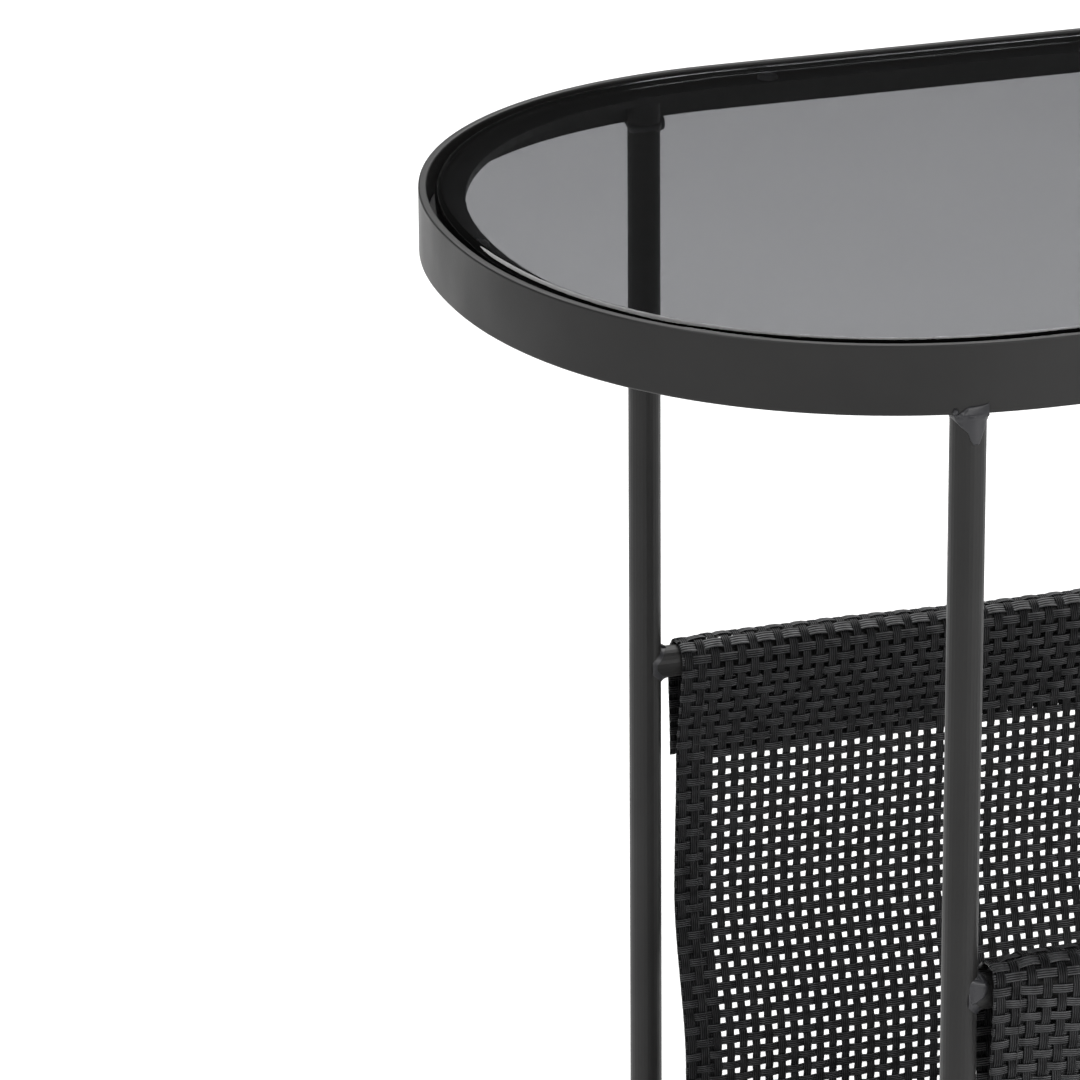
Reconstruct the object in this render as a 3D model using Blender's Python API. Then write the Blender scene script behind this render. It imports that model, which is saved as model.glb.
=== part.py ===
"""Oval side table: welded steel frame, loose smoked glass top and a woven magazine sling.

Metres, +Z up, +X along the table, +Y to the rear. The origin is on the floor, below the
centre of the top.
"""
import math

import bmesh
import bpy
from mathutils import Vector

# Whole table
LENGTH = 0.600
DEPTH = 0.350
HEIGHT = 0.580
GAP = 0.0003

# Outline of the top: straight sides joined by superelliptic ends
END_REACH = 0.165
END_POWER = 2.15
END_STEPS = 40
STRAIGHT_HALF = LENGTH / 2 - END_REACH

# Rim band, the ledge welded inside it, and the glass
BAND_HEIGHT = 0.025
BAND_THICKNESS = 0.003
BAND_ARRIS = 0.0005
GLASS_THICKNESS = 0.010
GLASS_CLEARANCE = 0.003
GLASS_EDGE_RADIUS = 0.003
GLASS_EDGE_STEPS = 5
LEDGE_INNER_EDGE = 0.017
LEDGE_THICKNESS = 0.003
BUMPER_RADIUS = 0.004
BUMPER_HEIGHT = 0.0014
BUMPER_INSET = 0.0115
BUMPER_ALONG = 0.120
GLASS_BOTTOM = HEIGHT - GLASS_THICKNESS
LEDGE_TOP = GLASS_BOTTOM - BUMPER_HEIGHT - 2 * GAP

# Legs and their foot plugs
LEG_RADIUS = 0.00635
LEG_WALL = 0.0012
LEG_X = STRAIGHT_HALF + 0.034
LEG_Y = 0.167
ROUND_STEPS = 28
PLUG_FLANGE = 0.003
PLUG_ARRIS = 0.0008
PLUG_STEM = 0.016
LEG_BOTTOM = PLUG_FLANGE + GAP
LEG_TOP = LEDGE_TOP - LEDGE_THICKNESS - GAP
COPE_REACH = 0.020

# Rods that carry the sling
ROD_RADIUS = LEG_RADIUS
ROD_Z = HEIGHT - 0.2403

# Sling, as depths below the rods
SLING_HALF_WIDTH = 0.1555
SLING_THICKNESS = 0.0012
LOOP_RADIUS = ROD_RADIUS + GAP + SLING_THICKNESS / 2
FLAP_DEPTH = 0.045
FLAP_LEAN = 0.0032
SEAM_DEPTH = 0.045
SEAM_SHIFT = 0.0062
HANG_DEPTH = 0.100
HANG_SHIFT = 0.0025
TUCK_DEPTH = 0.172
TUCK_SHIFT = 0.014
TURN_DEPTH = 0.185
SLING_DEPTH = 0.275
BOTTOM_POWER = 2.6
BOTTOM_STEPS = 14
LOOP_STEPS = 12

SIDES = {"left": -1, "right": 1}
ENDS = {"front": -1, "rear": 1}


def clear_scene():
    """Remove every object that the new file starts with."""
    for thing in list(bpy.data.objects):
        bpy.data.objects.remove(thing, do_unlink=True)


def material(name, color, roughness, metallic=0.0, transmission=0.0):
    """A Principled material."""
    made = bpy.data.materials.new(name)
    made.use_nodes = True
    made.diffuse_color = (*color, 1.0)
    shader = made.node_tree.nodes["Principled BSDF"]
    shader.inputs["Base Color"].default_value = (*color, 1.0)
    shader.inputs["Roughness"].default_value = roughness
    shader.inputs["Metallic"].default_value = metallic
    shader.inputs["Transmission Weight"].default_value = transmission
    return made


def add_object(name, bm, finish=None, at=(0.0, 0.0, 0.0), smooth_angle=math.radians(35)):
    """Turn a bmesh into a named object with its faces pointing out."""
    bmesh.ops.recalc_face_normals(bm, faces=bm.faces[:])
    mesh = bpy.data.meshes.new(name)
    bm.to_mesh(mesh)
    bm.free()
    mesh.shade_smooth()
    mesh.set_sharp_from_angle(angle=smooth_angle)
    made = bpy.data.objects.new(name, mesh)
    made.location = at
    bpy.context.scene.collection.objects.link(made)
    if finish is not None:
        mesh.materials.append(finish)
    return made


def power(value, exponent):
    """A signed power, which keeps the sign of the value."""
    return math.copysign(abs(value) ** exponent, value)


def outline(inset):
    """The top's outline moved inwards by inset, as (x, y) points counter-clockwise."""
    points = []
    for side in (1, -1):
        for step in range(END_STEPS + 1):
            angle = -math.pi / 2 + math.pi * step / END_STEPS
            c, s = math.cos(angle), math.sin(angle)
            x = END_REACH * power(c, 2 / END_POWER)
            y = DEPTH / 2 * power(s, 2 / END_POWER)
            normal = Vector((power(c, 2 - 2 / END_POWER) / END_REACH,
                             power(s, 2 - 2 / END_POWER) / (DEPTH / 2)))
            normal.normalize()
            x -= inset * normal.x
            y -= inset * normal.y
            points.append((side * (STRAIGHT_HALF + x), side * y))
    return points


def add_loop(bm, points, z):
    """A ring of vertices at height z."""
    return [bm.verts.new((x, y, z)) for x, y in points]


def bridge(bm, first, second):
    """Join two rings that have the same number of vertices."""
    count = len(first)
    for i in range(count):
        j = (i + 1) % count
        bm.faces.new((first[i], first[j], second[j], second[i]))


def ring_section(section):
    """A closed ring that carries (inset, z) section points round the outline."""
    bm = bmesh.new()
    loops = [add_loop(bm, outline(inset), z) for inset, z in section]
    for i, loop in enumerate(loops):
        bridge(bm, loop, loops[(i + 1) % len(loops)])
    return bm


def bar_section(outer, inner, low, high, arris=0.0):
    """The (inset, z) corners of a flat bar, chamfered by arris."""
    if arris == 0.0:
        return [(outer, low), (inner, low), (inner, high), (outer, high)]
    return [(outer, low + arris), (outer + arris, low), (inner - arris, low), (inner, low + arris),
            (inner, high - arris), (inner - arris, high), (outer + arris, high), (outer, high - arris)]


def stack(rings):
    """A closed solid through a stack of vertex rings, given as (points, z)."""
    bm = bmesh.new()
    loops = [add_loop(bm, points, z) for points, z in rings]
    for low, high in zip(loops, loops[1:]):
        bridge(bm, low, high)
    bm.faces.new(loops[0])
    bm.faces.new(loops[-1])
    return bm


def circle(radius):
    """Points of a round section."""
    angles = [2 * math.pi * i / ROUND_STEPS for i in range(ROUND_STEPS)]
    return [(radius * math.cos(a), radius * math.sin(a)) for a in angles]


def turned(profile):
    """A solid of (radius, z) profile points about +Z."""
    return stack([(circle(radius), z) for radius, z in profile])


def cut(target, cutter):
    """Subtract cutter from target with a Boolean, and keep cutter as a hidden guide."""
    cutter.hide_render = True
    cutter.display_type = "WIRE"
    modifier = target.modifiers.new("cut_" + cutter.name, "BOOLEAN")
    modifier.operation = "DIFFERENCE"
    modifier.solver = "EXACT"
    modifier.object = cutter


def smooth_step(value):
    """Rise from 0 to 1 with level ends."""
    value = min(max(value, 0.0), 1.0)
    return value * value * (3 - 2 * value)


def build_rim(finish):
    """The flat bar bent edgewise round the top, and the ledge inside it."""
    band = bar_section(0.0, BAND_THICKNESS, HEIGHT - BAND_HEIGHT, HEIGHT, BAND_ARRIS)
    add_object("rim_band", ring_section(band), finish, smooth_angle=math.radians(30))
    ledge = bar_section(BAND_THICKNESS + GAP, LEDGE_INNER_EDGE, LEDGE_TOP - LEDGE_THICKNESS, LEDGE_TOP)
    add_object("glass_ledge", ring_section(ledge), finish)


def build_glass(finish):
    """The loose pane, level with the band's top, with rounded polished edges."""
    edge = BAND_THICKNESS + GLASS_CLEARANCE
    rings = []
    for turn in range(2 * GLASS_EDGE_STEPS + 2):
        upper = turn > GLASS_EDGE_STEPS
        angle = -math.pi / 2 + math.pi / 2 * (turn - upper) / GLASS_EDGE_STEPS
        centre = HEIGHT - GLASS_EDGE_RADIUS if upper else GLASS_BOTTOM + GLASS_EDGE_RADIUS
        inset = edge + GLASS_EDGE_RADIUS * (1 - math.cos(angle))
        rings.append((outline(inset), centre + GLASS_EDGE_RADIUS * math.sin(angle)))
    add_object("glass_top", stack(rings), finish)


def build_bumpers(finish):
    """Clear pads that hold the glass just off the ledge."""
    side_y = DEPTH / 2 - BUMPER_INSET
    end_x = LENGTH / 2 - BUMPER_INSET
    places = [(x, y) for y in (-side_y, side_y) for x in (-BUMPER_ALONG, BUMPER_ALONG)]
    places += [(-end_x, 0.0), (end_x, 0.0)]
    profile = [(BUMPER_RADIUS, 0.0), (BUMPER_RADIUS, BUMPER_HEIGHT * 0.6), (BUMPER_RADIUS * 0.8, BUMPER_HEIGHT)]
    for number, (x, y) in enumerate(places, start=1):
        add_object(f"glass_bumper_{number}", turned(profile), finish, at=(x, y, LEDGE_TOP + GAP))


def build_legs(steel, plastic):
    """Four tubes coped round the band and butted under the ledge, with a plug in each foot."""
    cope = bar_section(-COPE_REACH, BAND_THICKNESS + GAP, HEIGHT - BAND_HEIGHT - GAP, HEIGHT + GAP)
    cutter = add_object("band_cope_guide", ring_section(cope))
    bore = LEG_RADIUS - LEG_WALL
    plug = [(LEG_RADIUS - PLUG_ARRIS, 0.0), (LEG_RADIUS, PLUG_ARRIS), (LEG_RADIUS, PLUG_FLANGE),
            (bore - GAP, PLUG_FLANGE), (bore - GAP, PLUG_STEM - PLUG_ARRIS), (bore - 2 * PLUG_ARRIS, PLUG_STEM)]
    for end, y_sign in ENDS.items():
        for side, x_sign in SIDES.items():
            at = (x_sign * LEG_X, y_sign * LEG_Y, 0.0)
            bm = bmesh.new()
            heights = (LEG_BOTTOM, LEG_TOP)
            outer = [add_loop(bm, circle(LEG_RADIUS), z) for z in heights]
            inner = [add_loop(bm, circle(bore), z) for z in heights]
            bridge(bm, outer[0], outer[1])
            bridge(bm, outer[1], inner[1])
            bridge(bm, inner[1], inner[0])
            bridge(bm, inner[0], outer[0])
            leg = add_object(f"leg_{end}_{side}", bm, steel, at=at)
            cut(leg, cutter)
            add_object(f"foot_plug_{end}_{side}", turned(plug), plastic, at=at)


def build_rods(finish):
    """Two solid rods between the legs, with their ends coped to the tubes."""
    reach = LEG_RADIUS + GAP
    for end, y_sign in ENDS.items():
        length = 2 * (LEG_X - GAP)
        rod = add_object(f"sling_rod_{end}", turned([(ROD_RADIUS, -length / 2), (ROD_RADIUS, length / 2)]), finish,
                         at=(0.0, y_sign * LEG_Y, ROD_Z))
        rod.rotation_euler = (0.0, math.pi / 2, 0.0)
        for side, x_sign in SIDES.items():
            ends = [(reach, -2 * ROD_RADIUS), (reach, 2 * ROD_RADIUS)]
            guide = add_object(f"rod_cope_guide_{end}_{side}", turned(ends),
                               at=(x_sign * LEG_X, y_sign * LEG_Y, ROD_Z))
            cut(rod, guide)


def wall_y(depth):
    """How far from the centre plane the sling's wall hangs, depth below the rods."""
    return (LEG_Y - LOOP_RADIUS + SEAM_SHIFT * smooth_step(depth / SEAM_DEPTH)
            + HANG_SHIFT * smooth_step((depth - SEAM_DEPTH) / (HANG_DEPTH - SEAM_DEPTH))
            - TUCK_SHIFT * smooth_step((depth - HANG_DEPTH) / (TUCK_DEPTH - HANG_DEPTH)))


def sling_half():
    """(y, z) points of the rear half of the sling, from its lowest point to the flap's hem."""
    points = []
    half_width = wall_y(TURN_DEPTH)
    for step in range(BOTTOM_STEPS + 1):
        angle = math.pi / 2 * step / BOTTOM_STEPS
        y = half_width * power(math.sin(angle), 2 / BOTTOM_POWER)
        z = -TURN_DEPTH - (SLING_DEPTH - TURN_DEPTH) * power(math.cos(angle), 2 / BOTTOM_POWER)
        points.append((y, z))
    depths = [TURN_DEPTH * (1 - step / 16) for step in range(1, 16)]
    points += [(wall_y(depth), -depth) for depth in depths]
    for step in range(LOOP_STEPS + 1):
        angle = math.pi * (1 - step / LOOP_STEPS)
        points.append((LEG_Y + LOOP_RADIUS * math.cos(angle), LOOP_RADIUS * math.sin(angle)))
    for step in range(1, 6):
        depth = FLAP_DEPTH * step / 5
        points.append((LEG_Y + LOOP_RADIUS - FLAP_LEAN * smooth_step(depth / FLAP_DEPTH), -depth))
    return [Vector((y, z + ROD_Z)) for y, z in points]


def build_sling(finish):
    """The sling as one strip of even thickness, extruded along the table."""
    rear = sling_half()
    front = [Vector((-point.x, point.y)) for point in reversed(rear[1:])]
    path = front + rear
    offsets = []
    for i, point in enumerate(path):
        along = path[min(i + 1, len(path) - 1)] - path[max(i - 1, 0)]
        across = Vector((-along.y, along.x)).normalized() * SLING_THICKNESS / 2
        offsets.append((point + across, point - across))
    border = [upper for upper, lower in offsets] + [lower for upper, lower in reversed(offsets)]
    bm = bmesh.new()
    near, far = [], []
    for point in border:
        near.append(bm.verts.new((-SLING_HALF_WIDTH, point.x, point.y)))
        far.append(bm.verts.new((SLING_HALF_WIDTH, point.x, point.y)))
    bridge(bm, near, far)
    bm.faces.new(near)
    bm.faces.new(far)
    add_object("sling_fabric", bm, finish)


def main():
    clear_scene()
    steel = material("black_powder_coat", (0.035, 0.034, 0.034), 0.45)
    glass = material("smoked_glass", (0.26, 0.27, 0.28), 0.03, transmission=1.0)
    pad = material("clear_silicone", (0.55, 0.55, 0.55), 0.4)
    plastic = material("black_nylon", (0.02, 0.02, 0.02), 0.5)
    woven = material("woven_sling", (0.035, 0.036, 0.038), 0.55)
    build_rim(steel)
    build_glass(glass)
    build_bumpers(pad)
    build_legs(steel, plastic)
    build_rods(steel)
    build_sling(woven)


main()
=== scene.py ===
"""Looks of the oval side table: painted steel frame, smoked glass top and woven magazine sling.

Metres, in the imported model's frame: +X along the table, +Y to the rear, +Z up.
"""
import math

import bmesh
import bpy
import numpy as np
from mathutils import Matrix, Vector


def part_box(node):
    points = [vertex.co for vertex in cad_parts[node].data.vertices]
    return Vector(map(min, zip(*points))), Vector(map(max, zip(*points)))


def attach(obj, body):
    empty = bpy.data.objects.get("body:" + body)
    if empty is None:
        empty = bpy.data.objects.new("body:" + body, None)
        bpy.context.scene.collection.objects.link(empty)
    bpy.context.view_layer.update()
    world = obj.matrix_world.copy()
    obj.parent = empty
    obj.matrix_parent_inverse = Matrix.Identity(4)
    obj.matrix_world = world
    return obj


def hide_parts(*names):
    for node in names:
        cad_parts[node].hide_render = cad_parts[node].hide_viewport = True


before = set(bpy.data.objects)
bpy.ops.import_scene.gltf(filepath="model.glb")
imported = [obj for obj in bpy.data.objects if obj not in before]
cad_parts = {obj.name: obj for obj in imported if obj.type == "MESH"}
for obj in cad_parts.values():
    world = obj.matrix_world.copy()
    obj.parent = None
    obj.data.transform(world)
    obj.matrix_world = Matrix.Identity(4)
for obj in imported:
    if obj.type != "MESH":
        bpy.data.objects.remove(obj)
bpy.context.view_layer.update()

MM = 0.001

# Outline of the top, as on the CAD model
BAND_LOW, BAND_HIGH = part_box("rim_band")
HEIGHT = BAND_HIGH.z
HALF_LENGTH = BAND_HIGH.x
HALF_DEPTH = BAND_HIGH.y
END_REACH = 165 * MM
END_POWER = 2.15
STRAIGHT_HALF = HALF_LENGTH - END_REACH
FINE_END_STEPS = 96

# Rim band and glass
BAND_THICKNESS = 3.0 * MM
BAND_ARRIS = 0.7 * MM
GLASS_INSET = 6.0 * MM
GLASS_EDGE_RADIUS = 3.0 * MM
SUPPORT = 0.25 * MM
GLASS_TINT = (0.60, 0.605, 0.615)
GLASS_BODY = (0.40, 0.405, 0.42)
GLASS_DENSITY = 100.0

# Legs and rods
LEG_LOW, LEG_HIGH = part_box("leg_rear_right")
LEG_RADIUS = (LEG_HIGH.x - LEG_LOW.x) / 2
LEG_X = (LEG_HIGH.x + LEG_LOW.x) / 2
LEG_Y = (LEG_HIGH.y + LEG_LOW.y) / 2
ROD_LOW, ROD_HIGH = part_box("sling_rod_rear")
ROD_RADIUS = (ROD_HIGH.z - ROD_LOW.z) / 2
ROD_Z = (ROD_HIGH.z + ROD_LOW.z) / 2

# Welds: the least that weld metal stands off a leg, and how far a collar reaches into it
SKIN = 0.02 * MM
BITE = 0.05 * MM

# Search for the band's face over a leg: tries, how far the band slants there, part of each step taken
SEARCH_TRIES = 40
SEARCH_SLANT = 0.18
SEARCH_STEP = 0.5

# Head welds: a collar round the leg, a shield on its outer side, a knob and a drip
COLLAR_LENGTH = 2.6 * MM
COLLAR_THICKNESS = 0.5 * MM
# (degrees from the outward side, mm below the rim's lower edge, mm above it)
SHIELD_OUTLINE = ((-76, 0.5, 0.05), (-70, 1.0, 0.05), (-45, 3.2, 0.1), (-32, 4.5, 1.0),
                  (-12, 6.2, 2.65), (-5, 8.6, 2.8), (4, 10.7, 2.9), (24, 10.7, 3.1),
                  (34, 8.2, 3.2), (47, 5.3, 3.4), (72, 1.8, 3.9))
GROOVE_ANGLES = (-40, -24)
SHIELD_THICKNESS = 0.45 * MM
SHIELD_ROUNDING = 0.5 * MM
SHIELD_BACK = 0.4 * MM
SHIELD_SWELL = (0.15 * MM, 1.2 * MM)
SHIELD_TURN = 2.4 * MM
RIDGE_HEIGHT = 0.55 * MM
RIDGE_PLACE = 0.7 * MM
RIDGE_WIDTH = 0.6 * MM
KNOB_ALONG = -5.4 * MM
KNOB_RISE = 1.2 * MM
KNOB_PROUD = 0.1 * MM
KNOB_SIZES = (1.0 * MM, 0.8 * MM, 1.1 * MM)
DRIP_DROP = 1.2 * MM
DRIP_SIZES = {"front": (0.4 * MM, 1.5 * MM, 2.0 * MM), "rear": (2.1 * MM, 2.0 * MM, 3.4 * MM)}

# Rod welds, in mm: a fillet (its size, and what the sag adds), and a cap whose face leans by CAP_TILT
FILLET_LEAST = 0.05
FILLET_HEIGHT = (0.4, 1.2)
FILLET_REACH = (1.8, 0.9)
CAP_CENTRE = (5.2, 3.2)
CAP_OUTLINE = [(-3.9, 1.3), (-3.5, 2.9), (-2.3, 4.0), (0.6, 4.3), (2.6, 3.9), (3.7, 3.0), (4.2, 1.1),
               (3.3, -0.9), (1.6, -2.9), (-0.6, -4.3), (-2.6, -5.0), (-3.3, -4.3), (-3.5, -2.7)]
CAP_RISE = 0.75
CAP_TILT = 0.14

# Sling: its section, as depths below the rods, and how finely it is sampled
FOLD_RADIUS = 0.5 * MM
LAYER = 2 * FOLD_RADIUS
HANG_DEPTH = 100 * MM
HANG_Y = LEG_Y + 1.4 * MM
TUCK_DEPTH = 172 * MM
TUCK_SHIFT = 14 * MM
TURN_DEPTH = 185 * MM
SLING_DEPTH = 275 * MM
BOTTOM_POWER = 2.6
HALF_WIDTH = 155.6 * MM
WALL_EDGE_DEPTH = 12 * MM
EDGE_RISE = 0.1 * MM
CORNER_REACH = 48 * MM
CROWN_RUN = 18 * MM
BULGE_END = 38 * MM
BULGE_FADE = 24 * MM
MIDDLE_WIDTH = 157.4 * MM
SLACK_FADE = (50 * MM, 140 * MM)
SLING_ENDS = {
    "front": {"loop": 10.0 * MM, "seam": LEG_Y - 5.2 * MM, "flap": LEG_Y + 4.0 * MM,
              "flap_depth": 45.0 * MM, "sag": 0.0, "corner_lift": 3.3 * MM,
              "slack": (1.6 * MM, 14 * MM, 0.5 * MM), "wall_width": 159.2 * MM,
              "crown_width": 157.6 * MM, "flap_widths": (159.6 * MM, 157.7 * MM)},
    "rear": {"loop": 7.7 * MM, "seam": LEG_Y - 0.8 * MM, "flap": LEG_Y + 3.9 * MM,
             "flap_depth": 43.0 * MM, "sag": 1.5 * MM, "corner_lift": 3.0 * MM,
             "slack": (1.05 * MM, 18 * MM, 1.35 * MM), "wall_width": 155.6 * MM,
             "crown_width": 155.2 * MM, "flap_widths": (156.3 * MM, 156.9 * MM)},
}
BOTTOM_STEPS = 120
WALL_STEPS = 150
LOOP_STEPS = 40
FLAP_STEPS = 45
FOLD_STEPS = 12
TAIL_STEPS = 18

# Weave
ROW_PITCH = 5.54 * MM
WARPS = 57
ROW_PHASES = (0.3, 0.79)
WARP_PHASE = 0.38
WEFT_HALF_WIDTH = 1.72 * MM
WARP_HALF_WIDTH = 1.72 * MM
CROWN_SPREAD = 0.32
CROWN_REACH = 9 * MM
RIBBON_HALF_THICKNESS = 0.2 * MM
# A ribbon's section: (across in half widths, height in half thicknesses, place across the texture)
RIBBON_SECTION = ((-1.0, 0.0, 0.0), (-0.86, 0.72, 0.07), (-0.45, 1.0, 0.27), (0.45, 1.0, 0.73),
                  (0.86, 0.72, 0.93), (1.0, 0.0, 1.0), (0.7, -0.9, 0.85), (-0.7, -0.9, 0.15))
YARNS = 4
CRIMP = 0.27 * MM
HEM_CRIMP = 0.6
LEVEL_PART = 0.8
BEND_STEP = math.radians(14)
LEAST_STEP = 0.05 * MM
SIDE_HEM_WARPS = 2
HEM_BLEND = 0.2 * MM
EDGE_HALF_WIDTH = 1.2 * MM
EDGE_TUCK = 0.15 * MM
END_HEM_ROWS = 5
TAIL_SPARE_ROWS = 0.75

# Stitching
THREAD_RADIUS = 0.24 * MM
STITCH = 3.4 * MM
STITCH_GAP = 0.9 * MM
# A stitch: (place along it, thickness, height), the last two in thread radii
STITCH_SHAPE = ((0.0, 0.35, -0.6), (0.18, 1.0, 0.1), (0.5, 1.0, 0.35), (0.82, 1.0, 0.1), (1.0, 0.35, -0.6))
STITCH_SIDES = 6
# Seams: how far off the cloth's middle, and how far from its edges
SEAM_FACE = -0.5 * MM
SEAM_MARGIN = 2 * MM
END_SEAM = 6 * MM
SIDE_SEAM = (SIDE_HEM_WARPS - 0.4) * ROW_PITCH

# Colours, in linear light
COAT_COLOR = (0.0135, 0.0132, 0.013)
# The welds wear the same coat as the frame; WELD_COLOR is lighter than COAT_COLOR as a painted highlight on
# the beads.
WELD_COLOR = (0.024, 0.024, 0.027)
PLASTIC_COLOR = (0.012, 0.012, 0.012)
SILICONE_COLOR = (0.42, 0.43, 0.43)
# Weft and warp are the same coated ribbon: the weft's lighter colour is a painted sheen where its floats
# catch light from above, and the warp's darker colour is painted shade.
WEFT_COLOR = (0.0150, 0.0153, 0.0166)
WARP_COLOR = (0.0082, 0.0084, 0.0092)
THREAD_COLOR = (0.016, 0.016, 0.017)
PAPER_COLOR = (0.86, 0.86, 0.86)

# Stage: the camera fitted to the photograph (metres, degrees, mm), and the lights
CAMERA_PLACE = Vector((-0.93683, -2.05981, 1.26229))
CAMERA_YAW = 18.027
CAMERA_PITCH = 20.276
CAMERA_ROLL = -0.492
CAMERA_LENS = 213.77
CAMERA_SENSOR = 36.0
FLOOR_HALF_SIZE = 14.0
FLOOR_GLOW = 0.2
ROOM_LIGHT = 0.03
ROOM_SEEN = 0.95
# Name, place, aim, width, height, power in watts
SOFTBOXES = (
    ("rear_box", (0.4, 1.5, 2.0), (0.4, 1.5, 0.0), 3.4, 2.6, 85.0),
    ("front_box", (0.3, -3.2, 2.6), (0.0, 0.0, 0.4), 2.5, 1.5, 50.0),
    ("right_box", (1.4, -2.1, 0.9), (0.7, -1.9, 0.0), 1.0, 1.0, 26.0),
    ("left_box", (-3.2, -1.6, 2.4), (0.0, 0.0, 0.5), 2.2, 2.2, 60.0),
)

SIDES = {"left": -1, "right": 1}
ENDS = {"front": -1, "rear": 1}


# Materials ------------------------------------------------------------------------------------

def new_material(name, color, roughness, **sockets):
    """A Principled material, with its node tree."""
    made = bpy.data.materials.new(name)
    made.use_nodes = True
    tree = made.node_tree
    shader = tree.nodes["Principled BSDF"]
    shader.inputs["Base Color"].default_value = (*color, 1.0)
    shader.inputs["Roughness"].default_value = roughness
    for socket, value in sockets.items():
        shader.inputs[socket.replace("_", " ")].default_value = value
    return made, tree, shader


def add_node(tree, kind, **settings):
    """A node with the given input values, or attributes where no input has that name."""
    node = tree.nodes.new(kind)
    for name, value in settings.items():
        socket = name.replace("_", " ")
        if socket in node.inputs:
            node.inputs[socket].default_value = value
        else:
            setattr(node, name, value)
    return node


def vary_color(tree, shader, coordinates, scale, first, second):
    """Drift the base colour between two shades with soft noise."""
    noise = add_node(tree, "ShaderNodeTexNoise", Scale=scale, Detail=4.0)
    ramp = tree.nodes.new("ShaderNodeValToRGB")
    ramp.color_ramp.elements[0].position = 0.3
    ramp.color_ramp.elements[1].position = 0.7
    ramp.color_ramp.elements[0].color = (*first, 1.0)
    ramp.color_ramp.elements[1].color = (*second, 1.0)
    tree.links.new(coordinates, noise.inputs["Vector"])
    tree.links.new(noise.outputs["Fac"], ramp.inputs["Fac"])
    tree.links.new(ramp.outputs["Color"], shader.inputs["Base Color"])
    return noise


def vary_roughness(tree, shader, coordinates, scale, low, high):
    """Drift the roughness between two values."""
    noise = add_node(tree, "ShaderNodeTexNoise", Scale=scale, Detail=3.0)
    spread = add_node(tree, "ShaderNodeMapRange", To_Min=low, To_Max=high)
    spread.inputs["From Min"].default_value = 0.3
    spread.inputs["From Max"].default_value = 0.7
    tree.links.new(coordinates, noise.inputs["Vector"])
    tree.links.new(noise.outputs["Fac"], spread.inputs["Value"])
    tree.links.new(spread.outputs["Result"], shader.inputs["Roughness"])


def add_bump(tree, shader, height, strength, distance):
    """Feed a height into the shader's normal."""
    bump = add_node(tree, "ShaderNodeBump", Strength=strength, Distance=distance)
    tree.links.new(height, bump.inputs["Height"])
    tree.links.new(bump.outputs["Normal"], shader.inputs["Normal"])


def powder_coat(name, color, low, high, specular, grain=1100.0, depth=0.035 * MM):
    """Satin powder coat, with its fine orange peel and slightly uneven gloss."""
    made, tree, shader = new_material(name, color, low, Specular_IOR_Level=specular)
    place = tree.nodes.new("ShaderNodeTexCoord").outputs["Object"]
    lighter = tuple(channel * 1.35 for channel in color)
    vary_color(tree, shader, place, 22.0, color, lighter)
    vary_roughness(tree, shader, place, 35.0, low, high)
    peel = add_node(tree, "ShaderNodeTexNoise", Scale=grain, Detail=2.0)
    tree.links.new(place, peel.inputs["Vector"])
    add_bump(tree, shader, peel.outputs["Fac"], 0.6, depth)
    return made


def smoked_glass():
    """Body-tinted grey glass with a faint film of handling marks in its gloss."""
    made, tree, shader = new_material("smoked_glass_look", GLASS_TINT, 0.0, Transmission_Weight=1.0, IOR=1.5)
    place = tree.nodes.new("ShaderNodeTexCoord").outputs["Object"]
    vary_color(tree, shader, place, 9.0, GLASS_TINT, tuple(channel * 1.03 for channel in GLASS_TINT))
    vary_roughness(tree, shader, place, 30.0, 0.0, 0.012)
    body = add_node(tree, "ShaderNodeVolumeAbsorption", Density=GLASS_DENSITY)
    body.inputs["Color"].default_value = (*GLASS_BODY, 1.0)
    tree.links.new(body.outputs["Volume"], tree.nodes["Material Output"].inputs["Volume"])
    return made


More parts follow.
